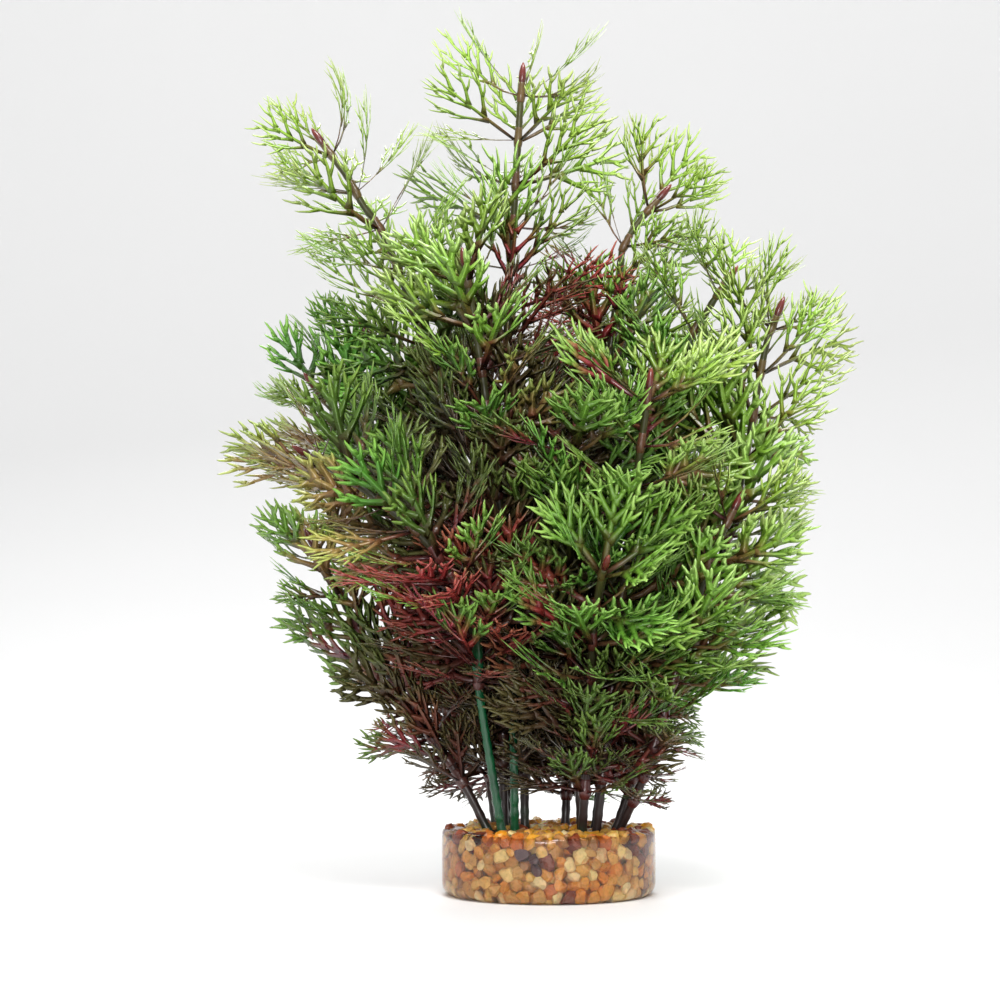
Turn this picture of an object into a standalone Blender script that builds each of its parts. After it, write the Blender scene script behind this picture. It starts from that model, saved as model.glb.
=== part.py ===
"""An artificial cabomba: plastic stems with forked leaf whorls and small tip caps, cast in a
round base of gravel and resin.

The origin is the centre of the base's underside, +Z is up and the front faces -Y.
"""

import math

import bmesh
import bpy
import numpy as np
from mathutils import Matrix, Vector, kdtree

MM = 0.001

# Gravel base
BASE_RADIUS = 36.2 * MM
BASE_HEIGHT = 22.5 * MM
BASE_TOP_EDGE = 0.8 * MM
BASE_FOOT_ROUND = 4.0 * MM
BASE_SIDES = 32

# Stems
STEM_FOOT_RADIUS = 1.45 * MM
STEM_TIP_RADIUS = 1.1 * MM
STEM_IN_BASE = 12.0 * MM
STEM_POINTS = 13
STEPS_IN_SPAN = 24
SOCKET_SIDES = 8
SOCKET_ABOVE_BASE = 2.0 * MM
FIT_GAP = 0.35 * MM

# Tip caps, as radius and height of the turned profile
CAP_PROFILE = ((1.05, 0.0), (1.3, 2.4), (1.0, 5.6), (0.0, 8.0))
CAP_SIDES = 6

# Leaf whorls. A rib's stalk and arms share the length of a frond, and a run of whorls has a size,
# and the rise of its low and its high arms, by tier. A stem's top run has its hub near the tip
# and its lowest run part of the way up that run.
RIBS = 5
RIB_THICKNESS = 1.1 * MM
HUB_RIM = 1.7 * MM
STALK_SHARE = 0.34
STALK_END_WIDTH = 3.0 * MM
ARM_SHARE = 0.66
ARM_SPREAD = math.radians(14)
ARM_TIP_WIDTH = 1.1 * MM
TOP_HUB_SHARE = 0.96
LOW_HUB_IN_RUN = 0.4
TIERS = {
    "low": (0.85, math.radians(0), math.radians(38)),
    "middle": (0.95, math.radians(6), math.radians(46)),
    "top": (1.0, math.radians(18), math.radians(62)),
}
TIER_NAMES = {1: ("top",), 2: ("low", "top"), 3: ("low", "middle", "top")}

# The middle lines of two ribs, or of a rib and a stem, stay this far apart, and a ring's corners
# stay clear of other stems. An arm stops short of what is in its way, and a rib whose stalk or
# arms have no room is left off.
KEEP_APART = 4.6 * MM
RING_APART = 2.6 * MM
SAMPLE_STEP = 1.5 * MM
SHORTEST_ARM = 0.4
TURNS_TRIED = 12
LIFTS_TRIED = tuple(math.radians(a) for a in (0, 6, -6, 12, -12))
SLIDES_TRIED = (0.0, -0.025, 0.02, -0.05, -0.075)

# Each stem: where it leaves the base and the points that it bends through, in millimetres, then
# the number of whorl runs, where the leaves begin as a share of its length, and its frond's
# length in millimetres.
STEMS = {
    "centre": (
        [(-8, 4, 22.5), (-9, 7, 90), (-13, 9, 150), (-14, 10, 192), (-12, 10, 227),
         (-10, 10, 262), (-9, 10, 277)], 3, 0.07, 38),
    "upper_left": (
        [(-15, 5, 22.5), (-17, 9, 80), (-29, 14, 145), (-45, 15, 195), (-56, 14, 224),
         (-64, 12, 236), (-69, 12, 245), (-77, 12, 256)], 3, 0.09, 36),
    "front_left": (
        [(-11.5, -4, 22.5), (-12.5, -8, 70), (-16, -14, 125), (-22, -17, 172), (-28, -17, 210)],
        2, 0.26, 38),
    "upper_right": (
        [(11, 9, 22.5), (13, 13, 90), (18, 17, 150), (25, 20, 213), (27, 20, 223),
         (32, 20, 231), (38, 20, 238)], 3, 0.09, 37),
    "right": (
        [(16, 4, 22.5), (22, 8, 70), (32, 12, 125), (47, 14, 183), (55, 12, 199),
         (61, 10, 208)], 2, 0.08, 37),
    "far_right": (
        [(23, -1, 22.5), (38, -3, 66), (58, -6, 113), (67, -6, 150), (71, -5, 172),
         (74, -5, 187), (77, -5, 195)], 2, 0.1, 38),
    "middle": (
        [(11, -5, 22.5), (8, -10, 70), (6, -20, 115), (8, -31, 152)], 2, 0.12, 38),
    "front_right": (
        [(16, -10, 22.5), (21, -15, 70), (26, -27, 120), (32, -39, 168)], 2, 0.12, 38),
    "front_low": (
        [(11, -14, 22.5), (13, -22, 58), (14, -35, 89), (16, -47, 106), (17, -52, 110)],
        1, 0.14, 36),
    "left": (
        [(-16, -11, 22.5), (-23, -13, 66), (-26, -23, 93), (-40, -32, 118), (-61, -31, 136),
         (-79, -26, 147)], 2, 0.23, 34),
    "back_left": (
        [(-18, 11, 22.5), (-26, 22, 75), (-47, 33, 122), (-69, 34, 157), (-81, 34, 173)],
        2, 0.1, 35),
    "rear_left": (
        [(-13, 14, 22.5), (-19, 24, 80), (-36, 34, 140), (-55, 38, 178), (-63, 38, 192)],
        2, 0.1, 35),
    "low_right": (
        [(24, -7, 22.5), (33, -13, 44), (44, -19, 82), (53, -22, 112), (61, -21, 129)],
        1, 0.1, 35),
    "far_left": (
        [(-21, -3, 22.5), (-30, -1, 39), (-48, 6, 64), (-67, 10, 93), (-80, 11, 117)],
        1, 0.16, 31),
    "back": (
        [(6, 15, 22.5), (9, 27, 80), (17, 39, 140), (24, 40, 192)], 1, 0.06, 36),
}

FOLIAGE_COLOUR = (0.15, 0.3, 0.06)
STEM_COLOUR = (0.03, 0.16, 0.08)
CAP_COLOUR = (0.3, 0.03, 0.03)
GRAVEL_COLOUR = (0.6, 0.38, 0.15)


def clear_scene():
    for obj in list(bpy.data.objects):
        bpy.data.objects.remove(obj, do_unlink=True)


def new_collection(name):
    collection = bpy.data.collections.new(name)
    bpy.context.scene.collection.children.link(collection)
    return collection


def plain_material(name, colour, roughness):
    material = bpy.data.materials.new(name)
    material.use_nodes = True
    shader = material.node_tree.nodes["Principled BSDF"]
    shader.inputs["Base Color"].default_value = (*colour, 1)
    shader.inputs["Roughness"].default_value = roughness
    shader.inputs["Metallic"].default_value = 0
    return material


def mesh_object(name, bm, collection, material):
    mesh = bpy.data.meshes.new(name)
    bm.to_mesh(mesh)
    bm.free()
    obj = bpy.data.objects.new(name, mesh)
    collection.objects.link(obj)
    mesh.materials.append(material)
    return obj


def turned_object(name, profile, steps, collection, material):
    """A profile of (radius, height) points, listed from top to bottom, turned round Z."""
    bm = bmesh.new()
    verts = [bm.verts.new((radius, 0, height)) for radius, height in profile]
    for upper, lower in zip(verts, verts[1:]):
        bm.edges.new((upper, lower))
    obj = mesh_object(name, bm, collection, material)
    screw = obj.modifiers.new("turn", "SCREW")
    screw.steps = steps
    screw.render_steps = steps
    screw.use_merge_vertices = True
    screw.merge_threshold = 0.00001
    return obj


def smooth_route(points, count):
    """A Catmull-Rom curve through the points, read at evenly spaced places along its length."""
    knots = np.array(points, float) * MM
    ends = np.vstack([2 * knots[0] - knots[1], knots, 2 * knots[-1] - knots[-2]])
    share = np.linspace(0, 1, STEPS_IN_SPAN, endpoint=False)[:, None]
    spans = []
    for a, b, c, d in zip(ends, ends[1:], ends[2:], ends[3:]):
        bend = 2 * a - 5 * b + 4 * c - d
        twist = 3 * b - a - 3 * c + d
        spans.append(0.5 * (2 * b + (c - a) * share + bend * share**2 + twist * share**3))
    fine = np.vstack([*spans, knots[-1:]])
    lengths = np.concatenate([[0], np.cumsum(np.linalg.norm(np.diff(fine, axis=0), axis=1))])
    wanted = np.linspace(0, lengths[-1], count)
    return np.stack([np.interp(wanted, lengths, fine[:, i]) for i in range(3)], axis=1)


def at_share(route, share):
    """The point and the direction of a route at a share of its length."""
    place = share * (len(route) - 1)
    before = min(int(place), len(route) - 2)
    step = route[before + 1] - route[before]
    return Vector(route[before] + step * (place - before)), Vector(step).normalized()


def foot_of(route):
    """The end of a stem inside the base, straight below the first bend."""
    way_down = Vector(route[0]) - Vector(route[1])
    return Vector(route[0]) + way_down * (STEM_IN_BASE / abs(way_down.z))


def stem_radius(share):
    return STEM_FOOT_RADIUS + (STEM_TIP_RADIUS - STEM_FOOT_RADIUS) * share


def make_stem(name, route, collection, material):
    """A tapered rod: a curve through the route with a round section and filled ends."""
    curve = bpy.data.curves.new(name, "CURVE")
    curve.dimensions = "3D"
    curve.bevel_depth = STEM_FOOT_RADIUS
    curve.bevel_resolution = 1
    curve.use_fill_caps = True
    spline = curve.splines.new("POLY")
    points = [foot_of(route), *map(Vector, route)]
    spline.points.add(len(points) - 1)
    for i, (target, point) in enumerate(zip(spline.points, points)):
        share = max(i - 1, 0) / (len(points) - 2)
        target.co = (*point, 1)
        target.radius = stem_radius(share) / STEM_FOOT_RADIUS
    obj = bpy.data.objects.new(name, curve)
    collection.objects.link(obj)
    curve.materials.append(material)
    return obj


def make_socket_cutter(name, route, collection, material):
    """The room that a stem's foot takes in the base, with the fit gap all round."""
    foot = foot_of(route)
    mouth = Vector(route[0]) + (Vector(route[0]) - foot).normalized() * SOCKET_ABOVE_BASE
    along = (mouth - foot).normalized()
    length = (mouth - foot).length + FIT_GAP
    bm = bmesh.new()
    across_corners = 1 / math.cos(math.pi / SOCKET_SIDES)
    bmesh.ops.create_cone(
        bm,
        cap_ends=True,
        segments=SOCKET_SIDES,
        radius1=(STEM_FOOT_RADIUS + FIT_GAP) * across_corners,
        radius2=(STEM_FOOT_RADIUS + FIT_GAP) * across_corners,
        depth=length,
    )
    obj = mesh_object(name, bm, collection, material)
    obj.rotation_euler = along.to_track_quat("Z", "Y").to_euler()
    obj.location = mouth - along * length / 2
    obj.hide_render = True
    obj.display_type = "WIRE"
    return obj


def make_base(collection, cutters, material):
    """A turned disc with a rounded foot, and a socket for each stem."""
    top = BASE_HEIGHT
    profile = [(0, top), (BASE_RADIUS - BASE_TOP_EDGE, top), (BASE_RADIUS, top - BASE_TOP_EDGE)]
    for angle in np.radians([0, 30, 60, 90]):
        radius = BASE_RADIUS - BASE_FOOT_ROUND * (1 - math.cos(angle))
        profile.append((radius, BASE_FOOT_ROUND * (1 - math.sin(angle))))
    profile.append((0, 0))
    obj = turned_object("gravel_base", profile, BASE_SIDES, collection, material)
    cut = obj.modifiers.new("sockets", "BOOLEAN")
    cut.operation = "DIFFERENCE"
    cut.operand_type = "COLLECTION"
    cut.collection = cutters
    cut.solver = "EXACT"
    return obj


def make_cap(name, route, collection, material):
    """A turned bullet on the end of a stem, in line with it."""
    profile = [(radius * MM, height * MM) for radius, height in reversed(CAP_PROFILE)]
    obj = turned_object(name, [*profile, (0, 0)], CAP_SIDES, collection, material)
    tip, along = at_share(route, 1)
    obj.rotation_euler = along.to_track_quat("Z", "Y").to_euler()
    obj.location = tip + along * FIT_GAP
    return obj


def hub_radius_at(share):
    """Out to the corners of the ring, whose flats clear the stem by the fit gap."""
    return (stem_radius(share) + FIT_GAP) / math.cos(math.pi / RIBS) + HUB_RIM


def hub_frame(route, share):
    """A matrix at a share of a stem, with Z along the stem."""
    place, along = at_share(route, share)
    return Matrix.Translation(place) @ along.to_track_quat("Z", "Y").to_matrix().to_4x4()


def heading_step(heading, rise):
    """A unit step out from a stem at a heading round it and an angle above square to it."""
    flat = math.cos(rise)
    return Vector((math.cos(heading) * flat, math.sin(heading) * flat, math.sin(rise)))


def rib_lines(hub_radius, turn, lift, frond, rises):
    """For each rib: its heading, its root and its stalk's end, and the heading and the tip of its
    low and its high arm."""
    ribs = []
    stalk_rise = sum(rises) / 2 + lift
    for i in range(RIBS):
        heading = turn + (i + 0.5) * math.tau / RIBS
        root = heading_step(heading, 0) * hub_radius
        fork = root + heading_step(heading, stalk_rise) * STALK_SHARE * frond
        ways = (heading - ARM_SPREAD, heading + ARM_SPREAD)
        arms = [
            (way, fork + heading_step(way, rise + lift) * ARM_SHARE * frond)
            for way, rise in zip(ways, rises)
        ]
        ribs.append((heading, root, fork, arms))
    return ribs


def sampled(start, end):
    """Points from start to end, a sample step apart, without start itself."""
    steps = max(round((end - start).length / SAMPLE_STEP), 1)
    return [start.lerp(end, (i + 1) / steps) for i in range(steps)]


def rib_samples(frame, ribs):
    """Points along the middle lines of a whorl's ribs, in the plant's frame."""
    points = []
    for _, root, fork, arms in ribs:
        points += [root, *sampled(root, fork)]
        for _, tip in arms:
            points += sampled(fork, tip)
    return [frame @ point for point in points]


def tree_of(points):
    tree = kdtree.KDTree(len(points))
    for i, point in enumerate(points):
        tree.insert(point, i)
    tree.balance()
    return tree


def cut_to_room(frame, ribs, placed):
    """The ribs that have room, with each arm cut where something placed comes too near, and the
    share of the arms' length that is left."""
    def room(point):
        return placed.find(frame @ point)[2]

    if min(room(root) for _, root, _, _ in ribs) < RING_APART:
        return [], 0
    cut, left = [], 0
    for heading, root, fork, arms in ribs:
        if min(map(room, sampled(root, fork))) < KEEP_APART:
            continue
        short = []
        for way, tip in arms:
            steps = sampled(fork, tip)
            blocked = (i for i, point in enumerate(steps) if room(point) < KEEP_APART)
            share = next(blocked, len(steps)) / len(steps)
            if share > SHORTEST_ARM:
                short.append((way, fork.lerp(tip, share)))
                left += share
        if short:
            cut.append((heading, root, fork, short))
    return cut, left


def place_whorls(route, share, frond, rises, placed):
    """The turn, the lift and the small slide along the stem that leave a run's arms longest."""
    best = (0, None)
    for slide in SLIDES_TRIED:
        frame = hub_frame(route, share + slide)
        hub_radius = hub_radius_at(share + slide)
        for step in range(TURNS_TRIED):
            turn = step * math.tau / RIBS / TURNS_TRIED
            for lift in LIFTS_TRIED:
                ribs = rib_lines(hub_radius, turn, lift, frond, rises)
                ribs, left = cut_to_room(frame, ribs, placed)
                if left > best[0]:
                    best = (left, (frame, hub_radius, ribs, turn))
    return best[1]


def grow(bm, edge, middle, heading, width):
    """Extrudes an edge to a new middle, level and square to its heading, with a new width."""
    made = bmesh.ops.extrude_edge_only(bm, edges=[edge])["geom"]
    new_verts = {item for item in made if isinstance(item, bmesh.types.BMVert)}
    across = Vector((-math.sin(heading), math.cos(heading), 0)) * width / 2
    for vert in new_verts:
        old = next(e.other_vert(vert) for e in vert.link_edges if e.other_vert(vert) in edge.verts)
        side = 1 if (old.co - (edge.verts[0].co + edge.verts[1].co) / 2).dot(across) > 0 else -1
        vert.co = middle + across * side
    return next(
        item for item in made
        if isinstance(item, bmesh.types.BMEdge) and set(item.verts) <= new_verts
    )


def make_whorls(name, frame, hub_radius, ribs, turn, collection, material):
    """A ring round the stem whose outer edges are drawn out into ribs that fork in two."""
    bm = bmesh.new()
    bmesh.ops.create_circle(
        bm, segments=RIBS, radius=hub_radius - HUB_RIM, matrix=Matrix.Rotation(turn, 4, "Z")
    )
    ring = list(bm.edges)
    made = bmesh.ops.extrude_edge_only(bm, edges=ring)["geom"]
    rim_verts = {item for item in made if isinstance(item, bmesh.types.BMVert)}
    for vert in rim_verts:
        vert.co = vert.co.normalized() * hub_radius
    rim = [
        item for item in made
        if isinstance(item, bmesh.types.BMEdge) and set(item.verts) <= rim_verts
    ]
    for heading, root, fork, arms in ribs:
        edge = max(rim, key=lambda e: (e.verts[0].co + e.verts[1].co).dot(root))
        edge = grow(bm, edge, fork, heading, STALK_END_WIDTH)
        _, middle = bmesh.utils.edge_split(edge, edge.verts[0], 0.5)
        halves = [e for e in middle.link_edges if e.is_boundary]
        for way, tip in arms:
            aside = tip - fork
            half = max(halves, key=lambda e: (e.other_vert(middle).co - fork).dot(aside))
            grow(bm, half, tip, way, ARM_TIP_WIDTH)
    bmesh.ops.recalc_face_normals(bm, faces=bm.faces)
    obj = mesh_object(name, bm, collection, material)
    obj.matrix_world = frame
    solid = obj.modifiers.new("thickness", "SOLIDIFY")
    solid.thickness = RIB_THICKNESS
    solid.offset = 0
    return obj


def tier_shares(count, start):
    """Where the hubs of a stem's whorl runs sit, as shares of its length, evenly spaced and
    from the lowest up."""
    run = (TOP_HUB_SHARE - start) / count
    return np.linspace(TOP_HUB_SHARE, start + LOW_HUB_IN_RUN * run, count)[::-1]


def main():
    clear_scene()
    plant = new_collection("artificial_cabomba")
    cutters = new_collection("cutters")
    leaf = plain_material("foliage", FOLIAGE_COLOUR, 0.35)
    rod = plain_material("stem", STEM_COLOUR, 0.3)
    red = plain_material("cap", CAP_COLOUR, 0.3)
    gravel = plain_material("gravel", GRAVEL_COLOUR, 0.3)

    routes = {name: smooth_route(stem[0], STEM_POINTS) for name, stem in STEMS.items()}
    occupied = []
    for name, route in routes.items():
        make_stem(f"stem_{name}", route, plant, rod)
        make_cap(f"tip_cap_{name}", route, plant, red)
        make_socket_cutter(f"socket_{name}", route, cutters, gravel)
        for start, end in zip(route, route[1:]):
            occupied.append((name, sampled(Vector(start), Vector(end))))
        tip, along = at_share(route, 1)
        occupied.append((name, sampled(tip, tip + along * CAP_PROFILE[-1][1] * MM)))
    make_base(plant, cutters, gravel)

    leaves = []
    runs = [
        (list(TIERS).index(tier), name, tier, share, frond * MM)
        for name, (_, count, start, frond) in STEMS.items()
        for tier, share in zip(TIER_NAMES[count], tier_shares(count, start))
    ]
    for _, name, tier, share, frond in sorted(runs, key=lambda run: run[0]):
        others = [p for owner, points in occupied if owner != name for p in points]
        placed = tree_of(others + leaves)
        size, *rises = TIERS[tier]
        found = place_whorls(routes[name], share, frond * size, rises, placed)
        frame, hub_radius, ribs, turn = found
        leaves += rib_samples(frame, ribs)
        make_whorls(f"whorls_{name}_{tier}", frame, hub_radius, ribs, turn, plant, leaf)


main()
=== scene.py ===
"""The looks of an artificial cabomba: forked plastic fronds in whorls on glossy stems, cast in a
disc of quartz gravel and clear resin. Lengths are in metres; +Z is up and the front faces -Y."""

import math

import bpy
import numpy as np
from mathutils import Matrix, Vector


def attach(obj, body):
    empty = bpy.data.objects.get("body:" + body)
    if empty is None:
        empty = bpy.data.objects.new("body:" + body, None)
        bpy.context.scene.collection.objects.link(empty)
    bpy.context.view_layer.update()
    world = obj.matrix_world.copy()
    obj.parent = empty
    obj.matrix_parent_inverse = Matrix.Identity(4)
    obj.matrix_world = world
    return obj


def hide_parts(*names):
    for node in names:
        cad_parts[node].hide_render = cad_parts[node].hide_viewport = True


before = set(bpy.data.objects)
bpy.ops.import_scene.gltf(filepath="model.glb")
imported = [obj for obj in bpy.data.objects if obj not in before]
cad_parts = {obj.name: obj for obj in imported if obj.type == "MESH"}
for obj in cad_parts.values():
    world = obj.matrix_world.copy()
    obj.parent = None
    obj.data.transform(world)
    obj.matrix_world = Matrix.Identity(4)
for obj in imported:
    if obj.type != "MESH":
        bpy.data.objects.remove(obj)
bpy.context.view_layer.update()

MM = 0.001

# Each stem: the points it bends through in millimetres, from the base's top to its tip, as the
# CAD has them; where its leaves begin, as a share of its length; how far apart its whorls are and
# its longest frond, in millimetres; and how much of it is emerald, from the base up.
STEMS = {
    "centre": (
        [(-8, 4, 22.5), (-9, 7, 90), (-13, 9, 150), (-14, 10, 192), (-12, 10, 227),
         (-10, 10, 262), (-9, 10, 277)], 0.07, 12, 41, 0.1),
    "upper_left": (
        [(-15, 5, 22.5), (-17, 9, 80), (-29, 14, 145), (-45, 15, 195), (-56, 14, 224),
         (-64, 12, 236), (-69, 12, 245), (-77, 12, 256)], 0.09, 12, 39, 0.1),
    "front_left": (
        [(-11.5, -4, 22.5), (-12.5, -8, 70), (-16, -14, 125), (-22, -17, 172), (-28, -17, 210)],
        0.26, 11.5, 38, 0.4),
    "upper_right": (
        [(11, 9, 22.5), (13, 13, 90), (18, 17, 150), (25, 20, 213), (27, 20, 223),
         (32, 20, 231), (38, 20, 238)], 0.09, 12, 37, 0.05),
    "right": (
        [(16, 4, 22.5), (22, 8, 70), (32, 12, 125), (47, 14, 183), (55, 12, 199),
         (61, 10, 208)], 0.08, 12, 37, 0.05),
    "far_right": (
        [(23, -1, 22.5), (38, -3, 66), (58, -6, 113), (67, -6, 150), (71, -5, 172),
         (74, -5, 187), (77, -5, 195)], 0.1, 12, 40, 0.05),
    "middle": (
        [(11, -5, 22.5), (8, -10, 70), (6, -20, 115), (8, -31, 152)], 0.12, 11, 38, 0.1),
    "front_right": (
        [(16, -10, 22.5), (21, -15, 70), (26, -27, 120), (32, -39, 168)], 0.12, 11, 38, 0.05),
    "front_low": (
        [(11, -14, 22.5), (13, -22, 58), (14, -35, 89), (16, -47, 106), (17, -52, 110)],
        0.14, 11, 36, 0.1),
    "left": (
        [(-16, -11, 22.5), (-23, -13, 66), (-26, -23, 93), (-40, -32, 118), (-61, -31, 136),
         (-79, -26, 147)], 0.33, 10.5, 37, 0.55),
    "back_left": (
        [(-18, 11, 22.5), (-26, 22, 75), (-47, 33, 122), (-69, 34, 157), (-81, 34, 173)],
        0.1, 10.5, 37, 0.1),
    "rear_left": (
        [(-13, 14, 22.5), (-19, 24, 80), (-36, 34, 140), (-55, 38, 178), (-63, 38, 192)],
        0.1, 10.5, 35, 0.1),
    "low_right": (
        [(24, -7, 22.5), (33, -13, 44), (44, -19, 82), (53, -22, 112), (61, -21, 129)],
        0.1, 11, 37, 0.05),
    "far_left": (
        [(-21, -3, 22.5), (-30, -1, 39), (-48, 6, 64), (-67, 10, 93), (-80, 11, 117)],
        0.16, 10, 34, 0.1),
    "back": (
        [(6, 15, 22.5), (9, 27, 80), (17, 39, 140), (24, 40, 192)], 0.06, 12, 36, 0.05),
}

# The plant's outline as the photograph's camera sees it, in x and z millimetres on the plane
# through the base's axis: up its right side, over the tips and down its left side.
OUTLINE = np.array([
    (24, 24), (34, 40), (48, 60), (63, 69), (74, 84), (83, 93), (80, 118), (88, 137),
    (87, 157), (101, 172), (102, 184), (109, 193), (96, 195), (85, 210), (73, 225), (54, 216),
    (51, 230), (59, 238), (50, 258), (33, 263), (21, 260), (14, 243), (16, 270), (21, 293),
    (8, 287), (-12, 288), (-22, 290), (-32, 299), (-39, 288), (-42, 273), (-37, 264), (-44, 256),
    (-50, 264), (-64, 272), (-70, 281), (-85, 276), (-100, 268), (-91, 252), (-94, 244),
    (-88, 222), (-76, 214), (-75, 202), (-86, 194), (-100, 191), (-99, 185), (-92, 172),
    (-103, 169), (-108, 159), (-95, 137), (-96, 125), (-90, 103), (-78, 82), (-56, 63),
    (-63, 51), (-37, 39), (-20, 24),
])

# The outline is let out a little about this point, in x and z millimetres
OUTLINE_MIDDLE = np.array([0, 160])
OUTLINE_EASE = 1.025

# The foliage's shades over the plant seen from the front: a place's x and z in millimetres, then
# how ruby, how rust-brown and how fresh (pale and yellow-green, or dark below 0) a frond there
# is. Dark below 0 is partly the plastic's own dark brown and partly painted shade, low down and
# at the left, where the foliage lies in shadow. A frond takes a mean of these, weighted by
# nearness.
SHADES = np.array([
    (-8, 285, 0, 0.15, 1), (-25, 262, 0, 0.2, 1), (10, 262, 0, 0.2, 1),
    (-10, 235, 0.1, 0.35, 0.7), (2, 215, 0.75, 0.5, 0.35), (-5, 197, 1.1, 0.5, 0.15),
    (8, 188, 0.6, 0.5, 0.2), (-75, 262, 0, 0.2, 1), (-90, 250, 0, 0.2, 1),
    (-55, 235, 0.05, 0.35, 0.8), (-75, 225, 0, 0.25, 0.6), (-40, 210, 0, 0.1, 0.75),
    (-35, 195, 0, 0.1, 0.7), (-20, 190, 0.2, 0.5, 0.4), (-85, 185, 0, 0.15, 0),
    (-70, 165, 0, 0.1, -0.35), (-55, 150, 0, 0.2, -0.35), (-100, 165, 0, 0.5, 0.95),
    (-85, 150, 0.05, 0.85, 0.75), (-75, 130, 0.1, 1.1, 0.5), (-60, 118, 0.2, 1.1, 0.3),
    (-50, 105, 0.8, 0.7, 0.1), (-35, 102, 1.15, 0.4, 0), (-20, 92, 1.15, 0.4, 0),
    (-25, 112, 0.9, 0.4, 0),
    (-8, 105, 0.5, 0.4, 0), (-95, 125, 0, 0.2, 0.3), (-86, 104, 0.05, 0.3, 0.1),
    (-68, 88, 0.2, 0.5, -0.2), (-55, 75, 0.4, 0.5, -0.6), (-40, 62, 0.5, 0.5, -0.8),
    (-58, 50, 0.9, 0.3, -0.3), (-30, 45, 0.5, 0.4, -0.9), (-30, 75, 0.8, 0.4, -0.5),
    (-8, 84, 0.8, 0.4, -0.3), (-12, 72, 0.6, 0.4, -0.7), (-5, 60, 0.5, 0.4, -0.9),
    (-15, 48, 0.5, 0.4, -0.9),
    (-30, 150, 0, 0.1, 0), (-45, 135, 0, 0.2, -0.15), (-12, 155, 0.4, 0.5, 0),
    (-5, 170, 0.1, 0.9, 0.1), (-20, 175, 0.05, 0.6, 0.3), (0, 140, 0, 0.1, 0.2),
    (10, 160, 0, 0.1, 0.3), (35, 255, 0, 0.2, 1), (55, 250, 0, 0.15, 1),
    (40, 225, 0.05, 0.4, 0.8), (62, 215, 0, 0.1, 1), (80, 205, 0, 0.1, 1),
    (100, 195, 0, 0.1, 1), (90, 175, 0, 0.15, 1), (75, 160, 0.05, 0.25, 0.85),
    (45, 190, 0, 0.1, 0.75), (35, 175, 0.1, 0.4, 0.55), (25, 155, 0, 0.1, 0.35),
    (40, 145, 0.2, 0.6, 0.25), (60, 140, 0.15, 0.5, 0.7), (85, 130, 0, 0.1, 0.8),
    (70, 115, 0.1, 0.4, 0.6), (85, 100, 0, 0.1, 0.5), (50, 110, 0.1, 0.4, 0.45),
    (20, 125, 0, 0.05, 0.25), (5, 120, 0, 0.05, 0.15), (25, 105, 0, 0.05, 0.22),
    (15, 95, 0, 0.1, 0.2), (0, 90, 0.3, 0.3, 0), (45, 85, 0.1, 0.4, 0.25),
    (30, 75, 0.1, 0.5, 0.05), (70, 75, 0.05, 0.3, 0.4), (15, 65, 0.2, 0.5, -0.4),
    (45, 56, 0.5, 0.5, -0.4), (57, 60, 0.2, 0.4, 0), (28, 50, 0.5, 0.5, -0.7),
    (38, 38, 0.6, 0.4, -0.7), (0, 45, 0.4, 0.4, -0.7), (8, 38, 0.3, 0.3, 0),
])

# How far the shades are blurred, in square millimetres
SHADE_BLUR = 25

# The foliage's bulk: heights in millimetres, its half widths in X and Y there, and its axis's X
BULK_HEIGHTS = (20, 60, 100, 160, 195, 225)
BULK_HALVES = ((25, 58, 76, 84, 58, 1), (20, 42, 52, 50, 36, 1))
BULK_MIDDLE = -8

# What the inside of the bulk adds to a frond's ruby, rust and fresh: painted shade, which
# darkens fronds deep in the foliage where they lie in shadow, with a little more maroon; and how
# fast that comes in: all of it is added where depth * INSIDE_GAIN - INSIDE_START is 1
INSIDE_PAINTED_SHADE = np.array([0.12, 0.12, -1.2])
INSIDE_GAIN = 1.6
INSIDE_START = 0.2

# Painted light: how much fresher and paler fronds are made at the very front, where the light
# falls on them, by their Y in millimetres
FRONT_PAINTED_LIGHT = ([-60, -30], [0.08, 0])

# How far chance moves a frond's shades, and what its ruby is then multiplied by, so that a red
# place has dark fronds too
SHADE_SPREAD = 0.12
RUBY_SPREAD = (0.3, 1.3)

STEM_FOOT_RADIUS = 1.45 * MM
STEM_TIP_RADIUS = 1.1 * MM
STEM_SINK = 10 * MM
STEM_SIDES = 10
STEM_STEP = 1.6 * MM
STEPS_PER_BEND = 40

# A stem swells at its joints of growth. One with much emerald has stouter joints, and its
# emerald part is thick for a stretch above each whorl's place
JOINT_GAP = 9.5 * MM
JOINT_SWELL = 0.16 * MM
MUCH_EMERALD = 0.3
STOUT_JOINTS = 1.8
THICK_AT = 7 * MM
THICK_HALF = 4.5 * MM
THICK_SWELL = 0.65 * MM
THICK_FADE = 9

# The frond's plan, in shares of its length: where pairs of side branches leave the midrib, how
# far the two of a pair are shifted along it, how long they are and at what angle; and where a
# branch has its needles, by how many it has. Branches and needles bend forward as they go, and
# needles get shorter along the branch.
BRANCH_AT = np.array([0.32, 0.52, 0.71])
PAIR_SHIFT = 0.025
BRANCH_LENGTH = np.array([0.5, 0.41, 0.28])
BRANCH_ANGLE = np.radians([47, 41, 35])
BRANCH_BEND = -0.5
NEEDLE_AT = {4: (0.4, 0.57, 0.73, 0.88), 3: (0.47, 0.68, 0.87), 2: (0.52, 0.78)}
NEEDLE_LENGTH = 0.22
NEEDLE_TAPER = (1.12, 0.42)
NEEDLE_ANGLE = math.radians(36)
NEEDLE_BEND = -0.6
MIDRIB_WIDTH = 0.066
BRANCH_WIDTH = 0.05
NEEDLE_WIDTH = 0.038
RIDGE = 0.15

# How far chance moves these: the midrib's curl, and then a blade's place, the scale of its
# length, its angle, and its climb out of the frond's plane
MIDRIB_CURL = 0.15
BRANCH_SPREAD = (0.012, (0.8, 1.12), 0.12, (-0.06, 0.14))
NEEDLE_SPREAD = (0.05, (0.78, 1.2), 0.15, (-0.1, 0.12))

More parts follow.
